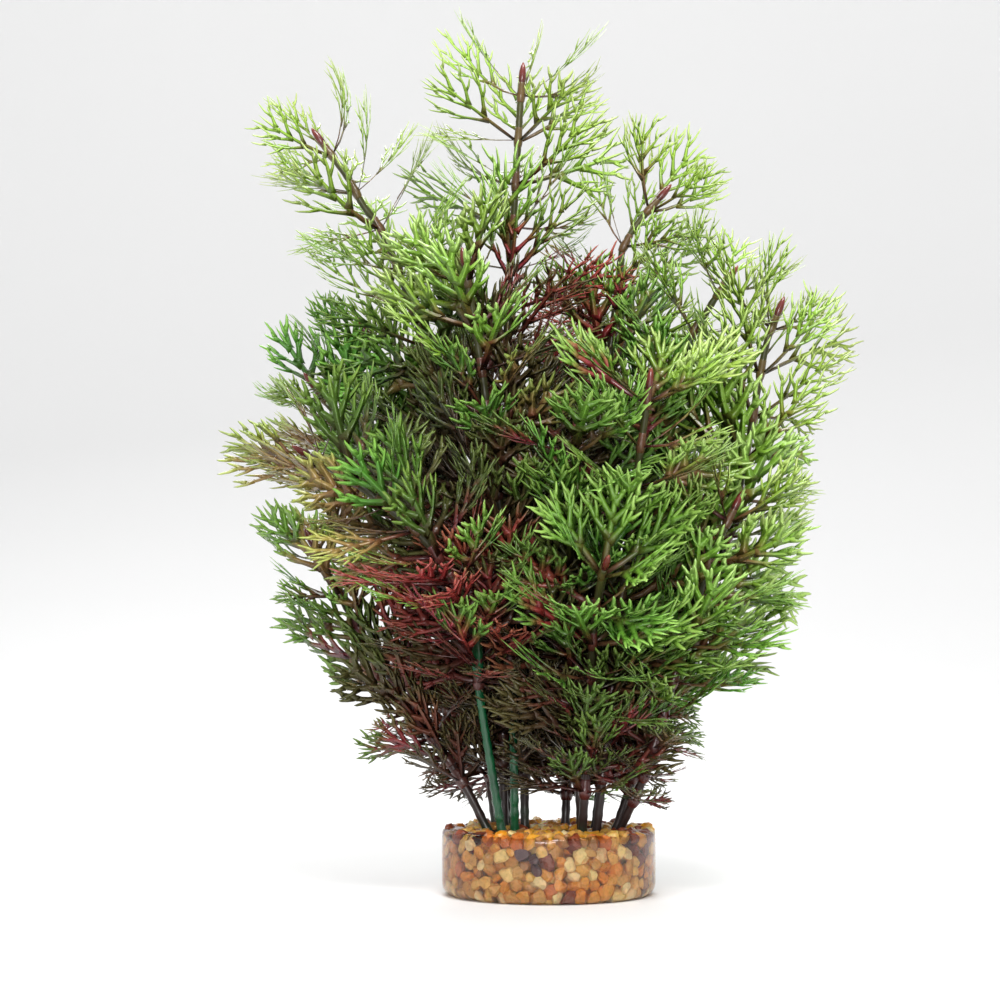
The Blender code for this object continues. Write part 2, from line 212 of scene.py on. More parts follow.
# Shades follow a frond's reach, 0 at its ring and 1 at its tip. A branch starts at a share of its
# place on the midrib and ends at the second value, and a needle adds the last one
BRANCH_REACH = (0.7, 0.92)
NEEDLE_REACH = 0.42

# The moulded fronds: how stout their blades are, and how many needles the branches of each pair
# have. The first ones are broad, and the rest are fine ones, for fresh or high places that aren't
# at the front.
MOULDS = (
    (1.12, (4, 3, 2)), (1.06, (3, 3, 2)), (1.0, (4, 3, 2)), (0.95, (4, 4, 2)),
    (0.64, (4, 3, 2)), (0.58, (4, 4, 2)), (0.52, (4, 3, 2)),
)
BROAD_MOULDS = 4
FINE_FROM = 0.7
FINE_ABOVE = 185 * MM
FINE_BEHIND = -8 * MM

# Width of a blade along its length: shares and widths of its stations, and it ends in a point.
# A branch starts as a wide web, and a needle narrows all the way.
MIDRIB_STATIONS = np.array([(0, 0.9), (0.16, 1.1), (0.36, 1.05), (0.55, 0.95), (0.74, 0.8),
                            (0.88, 0.6)])
BRANCH_STATIONS = np.array([(0, 2.6), (0.18, 1.35), (0.42, 1.1), (0.66, 0.95), (0.84, 0.75)])
NEEDLE_STATIONS = np.array([(0, 1.7), (0.4, 1.02), (0.82, 0.68)])

# The CAD's nodes for the runs of whorls on a stem, from the lowest up
RUNS = ("low", "middle", "top")
FRONDS_IN_WHORL = 5

# Each whorl is turned by this from the one below it, and the topmost sits this far below the tip
WHORL_TURN = math.radians(47)
TOP_WHORL_DROP = 3.5 * MM

# How whorls spread apart up a stem: the top gap is about 1 + 2 * THINNING times the lowest
THINNING = 0.4

# Stems whose tips are behind fronds. On the others, from this share of the length up, fronds
# spread round the back over this much of a full turn, and leave the cap free in front
HIDDEN_TIPS = ("front_left", "middle", "far_left", "back")
PARTED_FROM = 0.78
PARTING = 0.9

# How far fronds on a leaning stem swing up towards the sky
SKY_PULL = 0.55

# Fronds start this far out from the stem's surface, inside the ring
FROND_ROOT = 0.5 * MM

# How steeply fronds rise at their roots, by how far up the stem they are; how much more those do
# that point at the viewer, whose faces then show; and how much more the top ones do at their tips
ROOT_RISE = ([0.2, 0.45, 0.7, 1.0], np.radians([4, 8, 14, 20]))
FRONT_RISE = ([0.0, 0.6, 0.9], np.radians([36, 42, 20]))
TIP_RISE = ([0.85, 1], [0, 0.35])

# Fronds that point at the viewer curve and roll by these shares less. A stem's lean to the
# viewer, times LEAN_GAIN, takes away the two last rises, and the roll down to this share
FRONT_CURVE = 0.5
FRONT_ROLL = 0.7
LEAN_GAIN = 1.4
LEANING_ROLL = 0.3

# How far chance moves these: a frond's turn round the stem, its rise at the root, its curve from
# there to the tip and its roll about the midrib to either side, all in radians, how much its
# sides cup, and the scale of its length
TURN_SPREAD = 0.15
RISE_SPREAD = 0.35
CURVE_SPREAD = (-0.3, 0.9)
ROLL_SPREAD = (0.25, 1.1)
CUP_SPREAD = (0.0, 0.35)
LENGTH_SPREAD = (0.85, 1.08)
LEAST_CURVE = 0.02

# A frond's length beside the longest on its stem, by how far up the stem it is; how far its tip
# is from its root, for its length; and where along it its shades are taken
FROND_SIZE = ([0.1, 0.35, 0.75, 1.0], [0.72, 0.94, 1.0, 0.96])
CHORD = 0.92
HEART = 0.55

# The shares of its length that a frond may be cut to
SHORTEST = 0.5
SHORTER = np.linspace(0.55, 1, 10)

# A whorl's moulded ring and sleeve: along the stem, and out from its surface, in millimetres;
# how much of this stands out, by how far up the stem it is; and its reach, for its shades
RING_PROFILE = np.array([(-2.6, 0.05), (-2.2, 0.45), (-1.2, 0.8), (0, 1.05), (1.0, 0.75),
                         (1.8, 0.4), (3.9, 0.3), (4.4, 0.02)]) * MM
RING_STAND = ([0.2, 0.9], [0.9, 0.5])
RING_SIDES = 8
RING_REACH = 0.12

# On the bake: how much of its band a frond takes up to either side of its middle, and the
# margin at the band's ends
BAND_HALF = 0.36
BAND_MARGIN = 0.01

# A cap's radius and height up its turned profile, in millimetres
CAP_PROFILE = np.array([
    (0.0, 0.0), (0.95, 0.0), (1.1, 0.35), (1.02, 0.8), (1.16, 1.3), (1.28, 2.2), (1.3, 3.2),
    (1.22, 4.4), (1.02, 5.6), (0.74, 6.7), (0.4, 7.5), (0.16, 7.9), (0.0, 8.0),
]) * MM
CAP_SIDES = 16

BASE_RADIUS = 36.2 * MM
BASE_FOOT_ROUND = 4.0 * MM
RESIN_TOP = 21.9 * MM
GRAIN_TOP = 22.5 * MM

# Grains fill a shell of this depth, which is thinner at the underside
GRAINS = 1150
GRAIN_RADIUS = (1.6 * MM, 2.6 * MM)
GRAIN_SHELL = 7.6 * MM
SHELL_THINNING = 2.5 * MM

# Packing: places drawn for each grain and rounds of pushing; how near two grains may come, in
# shares of their radii, and how far they part in a round; how near a grain may come to stems, the
# top and the wall, in shares of its radius; and its gaps from the floor and the wall
GRAIN_TRIES = 4
PACKING_STEPS = 30
PACKED_NEAR = 0.93
PARTING_STEP = 0.35
STEM_NEAR = 0.8
TOP_NEAR = 0.9
WALL_NEAR = 0.97
FLOOR_GAP = 0.3 * MM
WALL_GAP = 0.2 * MM
TINY = 1e-9

# A pebble: how many planes cut it and how far out, how it is stretched, how much bigger it is
# made for what they take off, how far inside the wall its corners stay, and how much of its cell
# on the bake it takes up to either side
PEBBLE_PLANES = 6
PEBBLE_CUTS = (0.42, 0.72)
PEBBLE_STRETCH = (0.84, 1.2)
PEBBLE_GROWTH = 1.4
PEBBLE_GAP = 0.25 * MM
CELL_HALF = 0.42

# A grain's kind, from 0 to 1, picks its colour. Kinds above the first value lie only in the dark
# spots, and this share of the top layer's grains are browns, a painted shade of the foliage
# over the top
PLAIN_KINDS = 0.965
TOP_LAYER = 3.2 * MM
TOP_SHADED_SHARE = 0.5
TOP_SHADE_KINDS = (0.88, 0.93, 0.96)

# Where dark grains lie together: a place in millimetres, how far they reach and their kind,
# purple-brown in front, and red-brown on the rim, which is partly the grains' own colour and
# partly painted shade of the foliage over the top; and which share of the grains there are dark
DARK_SPOTS = [((-7, -34, 15), 4.8, 0.99), ((28, -16, 21), 8, 0.96), ((-26, -18, 21), 5, 0.96)]
DARK_SHARE = 0.85

# The resin block's rings, in millimetres: radii over the top; in from the side and down from the
# top round its edge; heights down the side and round the foot; and radii under it
RESIN_SIDES = 120
RESIN_TOP_RADII = np.linspace(2, 34.6, 16)
RESIN_EDGE = ((0.9, 0.1), (0.35, 0.45), (0, 1.1))
RESIN_SIDE_HEIGHTS = np.linspace(20, 4, 9)
RESIN_FOOT_HEIGHTS = np.array([2.4, 1.2, 0.45, 0.1])
RESIN_UNDER_RADII = np.array([31.6, 24, 16, 8])

# The waves of the resin's top: how many, how tight in radians a metre, how high, and the height
# that they start at and the height over which they grow
WAVES = 14
WAVE_TIGHTNESS = 900
WAVE_HEIGHT = 1.1 * MM
WAVES_FROM = 18 * MM
WAVES_GROW = 4 * MM

# The stage, in metres: the floor's front edge, where it starts to curve up, how widely and
# between which angles, the backdrop's top and the half width
STAGE_FRONT = -2.5
STAGE_CURVE_Y = 0.9
STAGE_CURVE = 0.7
STAGE_BEND = np.linspace(0.2, 1.57, 10)
STAGE_TOP = 3.0
STAGE_HALF = 3.0

# Soft lights: place, aim, width and height in metres, and power in watts
LIGHTS = {
    "key": ((0.15, -0.7, 1.1), (0, 0, 0.14), (0.45, 0.35), 12),
    "fill": ((-0.1, -1.3, 0.35), (0, 0, 0.1), (0.5, 0.3), 7),
    "rim": ((-0.2, 0.8, 0.9), (0, 0, 0.15), (0.7, 0.4), 7),
}
SURROUNDINGS = 0.6

# The photograph's camera: its eye, the height that it aims at on the plant's axis, and its lens
# and sensor in millimetres
EYE = (-0.0165, -0.958, 0.109)
AIM_HEIGHT = 0.1335
LENS = 101.4
SENSOR = 36.0


class Value:
    """A node's output that Python's operators act on, each adding one Math node."""

    def __init__(self, finish, socket):
        self.finish = finish
        self.socket = socket

    def __add__(self, other):
        return self.finish.math("ADD", self, other)

    def __sub__(self, other):
        return self.finish.math("SUBTRACT", self, other)

    def __rsub__(self, other):
        return self.finish.math("SUBTRACT", other, self)

    def __mul__(self, other):
        return self.finish.math("MULTIPLY", self, other)

    __radd__ = __add__
    __rmul__ = __mul__


class Finish:
    """A material round one Principled shader, whose even sockets are set by name."""

    def __init__(self, name, even):
        self.material = bpy.data.materials.new(name)
        self.material.use_nodes = True
        self.tree = self.material.node_tree
        self.shader = self.tree.nodes["Principled BSDF"]
        for socket, value in even.items():
            self.shader.inputs[socket].default_value = value

    def node(self, kind, settings=None, sockets=None, out=0):
        """Adds a node: its settings first, then the values or links of its sockets."""
        node = self.tree.nodes.new(kind)
        for name, value in (settings or {}).items():
            if name == "stops":
                self.set_stops(node.color_ramp, value)
            else:
                setattr(node, name, value)
        for name, value in (sockets or {}).items():
            if isinstance(value, Value):
                self.tree.links.new(value.socket, node.inputs[name])
            else:
                node.inputs[name].default_value = value
        return Value(self, node.outputs[out])

    @staticmethod
    def set_stops(ramp, stops):
        """Gives a ramp its stops: a place and a colour in hex digits each."""
        while len(ramp.elements) < len(stops):
            ramp.elements.new(0.5)
        for element, (place, code) in zip(ramp.elements, stops):
            element.position = place
            element.color = (*srgb(code), 1)

    def math(self, operation, *values, clamp=False):
        settings = {"operation": operation, "use_clamp": clamp}
        return self.node("ShaderNodeMath", settings, dict(enumerate(values)))

    def clamp(self, value):
        return self.math("ADD", value, 0.0, clamp=True)

    def attribute(self, name):
        return self.node("ShaderNodeAttribute", {"attribute_name": name}, out="Fac")

    def noise(self, scale, detail=2.0):
        place = self.node("ShaderNodeTexCoord", out="Object")
        sockets = {"Vector": place, "Scale": scale, "Detail": detail}
        return self.node("ShaderNodeTexNoise", None, sockets)

    def ramp(self, value, stops):
        return self.node("ShaderNodeValToRGB", {"stops": stops}, {"Fac": value})

    def mix(self, factor, first, second):
        first, second = [(*c, 1) if isinstance(c, tuple) else c for c in (first, second)]
        sockets = {0: factor, 6: first, 7: second}
        return self.node("ShaderNodeMix", {"data_type": "RGBA"}, sockets, out=2)

    def shift(self, colour, hue, saturation, value):
        """A colour with its hue turned, 0.5 being no turn, and saturation and value scaled."""
        sockets = {"Hue": hue, "Saturation": saturation, "Value": value, "Fac": 1.0,
                   "Color": colour}
        return self.node("ShaderNodeHueSaturation", None, sockets)

    def feed(self, links):
        for socket, value in links.items():
            self.tree.links.new(value.socket, self.shader.inputs[socket])

    def bump(self, height, distance, strength=0.5):
        sockets = {"Height": height, "Distance": distance, "Strength": strength}
        self.feed({"Normal": self.node("ShaderNodeBump", None, sockets)})


def srgb(code):
    """A colour given as six hex digits, in linear light."""
    parts = np.array([int(code[i : i + 2], 16) / 255 for i in (0, 2, 4)])
    linear = np.where(parts <= 0.04045, parts / 12.92, ((parts + 0.055) / 1.055) ** 2.4)
    return tuple(linear.tolist())


def unit(vectors):
    """Vectors scaled to length 1."""
    return vectors / np.linalg.norm(vectors, axis=-1, keepdims=True)


def add_object(name, data):
    """A new object in the scene, at the origin."""
    item = bpy.data.objects.new(name, data)
    bpy.context.scene.collection.objects.link(item)
    return item


def add_mesh(name, points, faces, finish, smooth=True):
    """An object from whole arrays: points (N, 3), and a list of faces' arrays, whose rows are 3
    or 4 corners."""
    mesh = bpy.data.meshes.new(name)
    mesh.from_pydata(points, [], [row for part in faces for row in part.tolist()])
    if smooth:
        mesh.shade_smooth()
    mesh.materials.append(finish.material)
    return add_object(name, mesh)


def mesh_piece(name, points, faces, finish, nodes, attributes=None, bake_uv=None,
               smooth=True):
    """A visible piece. Attributes are one number a point, and bake_uv is one place a point."""
    piece = add_mesh(name, points, faces, finish, smooth)
    for key, values in (attributes or {}).items():
        layer = piece.data.attributes.new(key, "FLOAT", "POINT")
        layer.data.foreach_set("value", values.astype(np.float32))
    if bake_uv is not None:
        corners = np.concatenate([part.ravel() for part in faces])
        layer = piece.data.uv_layers.new(name="OFBake")
        layer.data.foreach_set("uv", bake_uv[corners].astype(np.float32).ravel())
    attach(piece, "root")
    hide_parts(*nodes)


def smooth_route(points):
    """A Catmull-Rom curve through points in millimetres, and the length along it, in metres."""
    knots = np.array(points, float) * MM
    knots = np.vstack([2 * knots[0] - knots[1], knots, 2 * knots[-1] - knots[-2]])
    t = np.linspace(0, 1, STEPS_PER_BEND, endpoint=False)[:, None]
    spans = [
        0.5 * (2 * b + (c - a) * t + (2 * a - 5 * b + 4 * c - d) * t**2
               + (3 * b - a - 3 * c + d) * t**3)
        for a, b, c, d in zip(knots, knots[1:], knots[2:], knots[3:])
    ]
    line = np.vstack([*spans, knots[-2:-1]])
    steps = np.linalg.norm(np.diff(line, axis=0), axis=1)
    return line, np.concatenate([[0], np.cumsum(steps)])


def on_route(route, lengths):
    """The points of a route at some lengths along it, and the directions there."""
    line, along = route
    at, ahead, behind = (
        np.stack([np.interp(lengths + step, along, line[:, i]) for i in range(3)], axis=-1)
        for step in (0, MM, -MM))
    return at, unit(ahead - behind)


def square_axes(directions):
    """Two unit vectors square to each direction; the first is as near +X as it can be."""
    first = np.array([1.0, 0, 0]) - directions * directions[..., :1]
    first = unit(first)
    return first, np.cross(directions, first)


def tube(centres, directions, radii, sides):
    """A closed tube: rings of points round a path, radius by station, with a pole at each end.
    Point = centre + radius * (cos(angle) * first + sin(angle) * second)."""
    first, second = square_axes(directions)
    angle = np.linspace(0, math.tau, sides, endpoint=False)[None, :, None]
    ring = first[:, None] * np.cos(angle) + second[:, None] * np.sin(angle)
    rings = centres[:, None] + ring * radii[:, None, None]
    points = np.vstack([rings.reshape(-1, 3), centres[:1], centres[-1:]])
    return points, closed_rings(len(centres), sides)


def closed_rings(stations, sides):
    """Faces over rings of points that follow each other, closed by the two last points."""
    here = np.arange(sides)
    there = (here + 1) % sides
    rows = (np.arange(stations - 1) * sides)[:, None]
    quads = np.stack([rows + here, rows + there, rows + sides + there, rows + sides + here], -1)
    start, end = stations * sides, stations * sides + 1
    top = (stations - 1) * sides
    start_fan = np.stack([np.full(sides, start), there, here], -1)
    end_fan = np.stack([np.full(sides, end), top + here, top + there], -1)
    return [quads.reshape(-1, 4), np.vstack([start_fan, end_fan])]


def blades(start, heading, bend, lift, length, width, reach, stations):
    """Flat-backed blades with a ridge. A blade runs from its start (x, y, n) at its heading, which
    turns evenly by bend, and climbs by lift for each unit of length; its width follows the
    stations and closes to a point. Returns points (blade, point, xyz), reach, side and faces."""
    share = np.append(stations[:, 0], 1.0)
    count = len(stations)
    turning = heading[:, None] + bend[:, None] * (share[:-1] + share[1:]) / 2
    step = length[:, None] * np.diff(share)
    path = np.stack([np.cos(turning) * step, np.sin(turning) * step,
                     lift[:, None] * step], -1).cumsum(axis=1)
    centre = np.concatenate([np.zeros_like(path[:, :1]), path], axis=1) + start[:, None]
    facing = heading[:, None] + bend[:, None] * share[:-1]
    across = np.stack([-np.sin(facing), np.cos(facing), np.zeros_like(facing)], -1)
    half = (width[:, None] * stations[:, 1] / 2)[..., None]
    spine = centre[:, :-1]
    crest = spine + np.array([0, 0, 2 * RIDGE]) * half
    ring = np.stack([spine + across * half, spine - across * half, crest], axis=2)
    points = np.concatenate([ring.reshape(len(start), -1, 3), centre[:, -1:]], axis=1)
    along = reach[0][:, None] + (reach[1] - reach[0])[:, None] * share
    reaches = np.concatenate([np.repeat(along[:, :-1], 3, axis=1), along[:, -1:]], axis=1)
    sides = np.tile(np.r_[np.tile([1.0, -1.0, 0.0], count), 0.0], (len(start), 1))
    here = np.arange(3)
    there = (here + 1) % 3
    rows = (np.arange(count - 1) * 3)[:, None]
    low = np.stack([rows + here, rows + there, rows + 3 + there], -1).reshape(-1, 3)
    high = np.stack([rows + here, rows + 3 + there, rows + 3 + here], -1).reshape(-1, 3)
    last = (count - 1) * 3
    point = np.stack([last + here, last + there, np.full(3, 3 * count)], -1)
    faces = np.vstack([low, high, point, [[2, 1, 0]]])
    return points, reaches, sides, faces


def frond_template(rng, stout, needles):
    """One frond lying flat in a unit frame, x out from the ring: a midrib that curls a little,
    side branches in near pairs, and their needles. Branches climb or dip a little out of the
    frond's plane."""
    shift, stretch, swing, climb = BRANCH_SPREAD
    pairs = np.repeat(np.arange(len(BRANCH_AT)), 2)
    sign = np.tile([1.0, -1.0], len(BRANCH_AT))
    at = BRANCH_AT[pairs] + sign * rng.choice([-1, 1]) * PAIR_SHIFT
    at = at + rng.uniform(-shift, shift, at.size)
    length = BRANCH_LENGTH[pairs] * rng.uniform(*stretch, at.size)
    angle = sign * (BRANCH_ANGLE[pairs] + rng.uniform(-swing, swing, at.size))
    curl = rng.uniform(-MIDRIB_CURL, MIDRIB_CURL)
    zero = np.zeros(1)
    rib = blades(np.zeros((1, 3)), zero, np.array([curl]), zero, np.ones(1),
                 np.array([MIDRIB_WIDTH * stout]), (zero, np.ones(1)), MIDRIB_STATIONS)
    start = np.stack([at, curl * at**2 / 2, np.zeros(at.size)], -1)
    heading = angle + curl * at
    bend = BRANCH_BEND * sign * BRANCH_LENGTH[pairs] / BRANCH_LENGTH[0]
    lift = rng.uniform(*climb, at.size)
    reach = (at * BRANCH_REACH[0], np.full(at.size, BRANCH_REACH[1]))
    branch = blades(start, heading, bend, lift, length, np.full(at.size, BRANCH_WIDTH * stout),
                    reach, BRANCH_STATIONS)
    needle = needle_blades(rng, stout, needles, pairs, sign,
                           (start, heading, bend, lift, length), reach)
    return join_templates([rib, branch, needle])


def needle_blades(rng, stout, needles, pairs, sign, branches, reach):
    """Needles on alternate sides of each branch. At a share s of its branch a needle starts at
    s * length along the branch's mean heading so far."""
    shift, stretch, swing, climb = NEEDLE_SPREAD
    near, far = reach
    owner = np.repeat(np.arange(pairs.size), np.array(needles)[pairs])
    start, heading, bend, lift, length = (values[owner] for values in branches)
    share = np.concatenate([NEEDLE_AT[needles[pair]] for pair in pairs])
    turns = np.concatenate([np.arange(needles[pair]) for pair in pairs])
    first_side = sign * rng.choice([-1, 1], pairs.size)
    side = np.where(turns % 2 == 0, 1.0, -1.0) * first_side[owner]
    share = share + rng.uniform(-shift, shift, owner.size)
    middle = heading + bend * share / 2
    way = np.stack([np.cos(middle), np.sin(middle), lift], -1)
    root = start + (length * share)[:, None] * way
    turn = heading + bend * share
    turn = turn + side * (NEEDLE_ANGLE + rng.uniform(-swing, swing, owner.size))
    shortening = NEEDLE_TAPER[0] - NEEDLE_TAPER[1] * share
    needle_length = NEEDLE_LENGTH * shortening * rng.uniform(*stretch, owner.size)
    needle_near = near[owner] + (far - near)[owner] * share
    needle_far = np.clip(needle_near + NEEDLE_REACH, 0, 1)
    return blades(root, turn, NEEDLE_BEND * side, lift + rng.uniform(*climb, owner.size),
                  needle_length, np.full(owner.size, NEEDLE_WIDTH * stout),
                  (needle_near, needle_far), NEEDLE_STATIONS)


def join_templates(groups):
    """Stacks groups of like blades into one template: points, reach, side and faces."""
    points, reaches, sides, faces, count = [], [], [], [], 0
    for group_points, group_reach, group_side, group_faces in groups:
        blades_here, per_blade = group_points.shape[:2]
        offsets = count + np.arange(blades_here) * per_blade
        faces.append((group_faces[None] + offsets[:, None, None]).reshape(-1, 3))
        points.append(group_points.reshape(-1, 3))
        reaches.append(group_reach.ravel())
        sides.append(group_side.ravel())
        count += blades_here * per_blade
    return np.vstack(points), np.concatenate(reaches), np.concatenate(sides), np.vstack(faces)


def bent_fronds(template, roots, out, up, length, rise, roll, cup):
    """Lays copies of a template along arcs. A frond's midline rises at angle rise[0] at its root
    and rise[1] at its tip, so at x it has gone R = (sin(a) - sin(a0)) / k outwards and
    H = (cos(a0) - cos(a)) / k upwards, with a = a0 + k * x. Roll turns its plane about the
    midline, and cup lifts its sides by the square of y."""
    points = template[0]
    x, y, n = points[None, :, 0], points[None, :, 1], points[None, :, 2]
    k = rise[1] - rise[0]
    k = np.where(np.abs(k) < LEAST_CURVE, LEAST_CURVE, k)[:, None]
    a0 = rise[0][:, None]
    a = a0 + k * x
    outward = (np.sin(a) - np.sin(a0)) / k
    upward = (np.cos(a0) - np.cos(a)) / k
    aside = np.cross(up, out)
    normal = -np.sin(a)[..., None] * out[:, None] + np.cos(a)[..., None] * up[:, None]
    cos_roll, sin_roll = np.cos(roll)[:, None, None], np.sin(roll)[:, None, None]
    lateral = cos_roll * aside[:, None] + sin_roll * normal
    lifted = cos_roll * normal - sin_roll * aside[:, None]
    place = (
        outward[..., None] * out[:, None]
        + upward[..., None] * up[:, None]
        + y[..., None] * lateral
        + (n + cup[:, None] * y**2)[..., None] * lifted
    )
    return roots[:, None] + place * length[:, None, None]


def ring_and_sleeve(at, direction, share):
    """The moulded ring of a whorl with the short sleeve above it, slimmer near the stem's tip."""
    centres = at + RING_PROFILE[:, :1] * direction
    ways = np.tile(direction, (len(RING_PROFILE), 1))
    stand = RING_PROFILE[:, 1] * np.interp(share, *RING_STAND)
    return tube(centres, ways, stem_radius(share) + stand, RING_SIDES)


def shades_at(points):
    """Ruby, rust and fresh at some points, as the mean of SHADES weighted by
    1 / (distance^2 + SHADE_BLUR)^2."""
    gap = points[..., None, ::2] / MM - SHADES[:, :2]
    weight = 1 / ((gap**2).sum(-1) + SHADE_BLUR) ** 2
    return (weight[..., None] * SHADES[:, 2:]).sum(-2) / weight.sum(-1, keepdims=True)


def depth_inside(points):
    """How deep points lie inside the bulk of the foliage: 1 on its axis, 0 at its surface. The
    bulk is an ellipse at each height, and there's none of it higher up."""
    half_x, half_y = (np.interp(points[..., 2] / MM, BULK_HEIGHTS, half) for half in BULK_HALVES)
    x, y = points[..., 0] / MM - BULK_MIDDLE, points[..., 1] / MM
    return np.clip(1 - np.hypot(x / half_x, y / half_y), 0, 1)


def within_outline(points):
    """Whether points, seen from the camera's eye, lie inside OUTLINE, let out a little: a line
    from there to the right then crosses it an odd number of times."""
    eye = np.array(EYE)
    seen = eye + (points - eye) * (eye[1] / (eye[1] - points[..., 1]))[..., None]
    x, z = seen[..., :1] / MM, seen[..., 2:] / MM
    corners = OUTLINE_MIDDLE + (OUTLINE - OUTLINE_MIDDLE) * OUTLINE_EASE
    (start_x, start_z), (end_x, end_z) = corners.T, np.roll(corners, -1, axis=0).T
    spans = (start_z > z) != (end_z > z)
    rise = np.where(start_z == end_z, 1, end_z - start_z)
    crossing = start_x + (z - start_z) / rise * (end_x - start_x)
    return ((x < crossing) & spans).sum(-1) % 2 == 1


def cut_to_outline(roots, ahead, length):
    """Lengths of fronds, shortened by up to half until their tips are within the outline."""
    share = np.full(length.shape, SHORTEST)
    for trial in SHORTER:
        tips = roots + ahead * (length * trial * CHORD)[..., None]
        share = np.where(within_outline(tips), trial, share)
    return length * share


def whorl_places(route, leaves_from, spacing):
    """Lengths along a stem at which its whorls sit. With s even from 0 to 1, they lie at
    s * (1 + THINNING * s) / (1 + THINNING) of the leafy part."""
    total = route[1][-1]
    count = round(total * (1 - leaves_from) / (spacing * MM))
    share = np.linspace(0, 1, count)
    share = share * (1 + THINNING * share) / (1 + THINNING)
    return total * leaves_from + (total * (1 - leaves_from) - TOP_WHORL_DROP) * share


def stem_radius(share):
    """A stem's radius at a share of its length: an even taper."""
    return STEM_FOOT_RADIUS + (STEM_TIP_RADIUS - STEM_FOOT_RADIUS) * share


def frond_roots(at, direction, shares, rng, first_turn, parted):
    """Where the fronds of some whorls start, and which ways are out and up for them. They are
    spread evenly round the stem, or towards the back in a parted whorl, and out then swings
    towards the sky by how much the stem leans."""
    first, second = square_axes(direction)
    turn = first_turn + np.arange(len(at)) * WHORL_TURN
    fan = (np.arange(FRONDS_IN_WHORL) - (FRONDS_IN_WHORL - 1) / 2) * math.tau / FRONDS_IN_WHORL
    fan = np.tile(fan, (len(at), 1))
    if parted:
        away = np.arctan2(second[:, 1], first[:, 1])
        away = away + rng.uniform(-TURN_SPREAD, TURN_SPREAD, len(at))
        turn = np.where(shares > PARTED_FROM, away, turn)
        fan = np.where(shares[:, None] > PARTED_FROM, fan * PARTING, fan)
    angle = turn[:, None] + fan + rng.uniform(-TURN_SPREAD, TURN_SPREAD, fan.shape)
    out = first[:, None] * np.cos(angle)[..., None] + second[:, None] * np.sin(angle)[..., None]
    lean = 1 - direction[:, None, 2:] ** 2
    out = unit(out + lean * SKY_PULL * np.array([0, 0, 1]))
    up = unit(direction[:, None] - (direction[:, None] * out).sum(-1, keepdims=True) * out)
    radius = stem_radius(shares)[:, None, None] + FROND_ROOT
    return at[:, None] + out * radius, out, up


def frond_bends(out, direction, shares, rng):
    """How fronds rise at root and tip, roll and cup, by how far up the stem they are, how much
    they point at the viewer, and whether the stem is upright there or leans to the viewer."""
    shape = out.shape[:2]
    s = np.broadcast_to(shares[:, None], shape)
    front = np.clip(-out[..., 1], 0, 1)
    upright = np.clip(1 + direction[:, None, 1] * LEAN_GAIN, 0, 1)
    low = np.interp(s, *ROOT_RISE) + front * upright * np.interp(s, *FRONT_RISE)
    low = low + rng.uniform(-RISE_SPREAD, RISE_SPREAD, shape)
    high = low + rng.uniform(*CURVE_SPREAD, shape) * (1 - FRONT_CURVE * front)
    high = high + np.interp(s, *TIP_RISE) * upright
    roll = rng.choice([-1, 1], shape) * rng.uniform(*ROLL_SPREAD, shape)
    roll = roll * (1 - FRONT_ROLL * front) * (LEANING_ROLL + (1 - LEANING_ROLL) * upright)
    return low, high, roll, rng.uniform(*CUP_SPREAD, shape)


def frond_marks(heart, rng):
    """What each frond's colour depends on: ruby, rust and fresh by where its heart lies, and a
    tint by chance. Fronds deep inside the bulk are darkened as painted shade, and those at
    the very front are made paler as painted light."""
    shape = heart.shape[:2]
    # Painted shade: fronds deep inside the foliage's bulk are darkened
    inside = np.clip(depth_inside(heart) * INSIDE_GAIN - INSIDE_START, 0, 1)
    shade = shades_at(heart) + inside[..., None] * INSIDE_PAINTED_SHADE
    # Painted light: fronds at the very front are made fresher and paler
    shade[..., 2] += np.interp(heart[..., 1] / MM, *FRONT_PAINTED_LIGHT)
    shade = shade + rng.normal(0, SHADE_SPREAD, shade.shape)
    shade[..., 0] *= rng.uniform(*RUBY_SPREAD, shape)
    return {"ruby": shade[..., 0], "rust": shade[..., 1], "fresh": shade[..., 2],
            "tint": rng.uniform(0, 1, shape)}


def pick_moulds(roots, fresh, rng):
    """The number of each frond's mould, a broad or a fine one by its place."""
    fine = ((fresh > FINE_FROM) | (roots[..., 2] > FINE_ABOVE)) & (roots[..., 1] > FINE_BEHIND)
    return np.where(fine, rng.integers(BROAD_MOULDS, len(MOULDS), fine.shape),
                    rng.integers(0, BROAD_MOULDS, fine.shape))


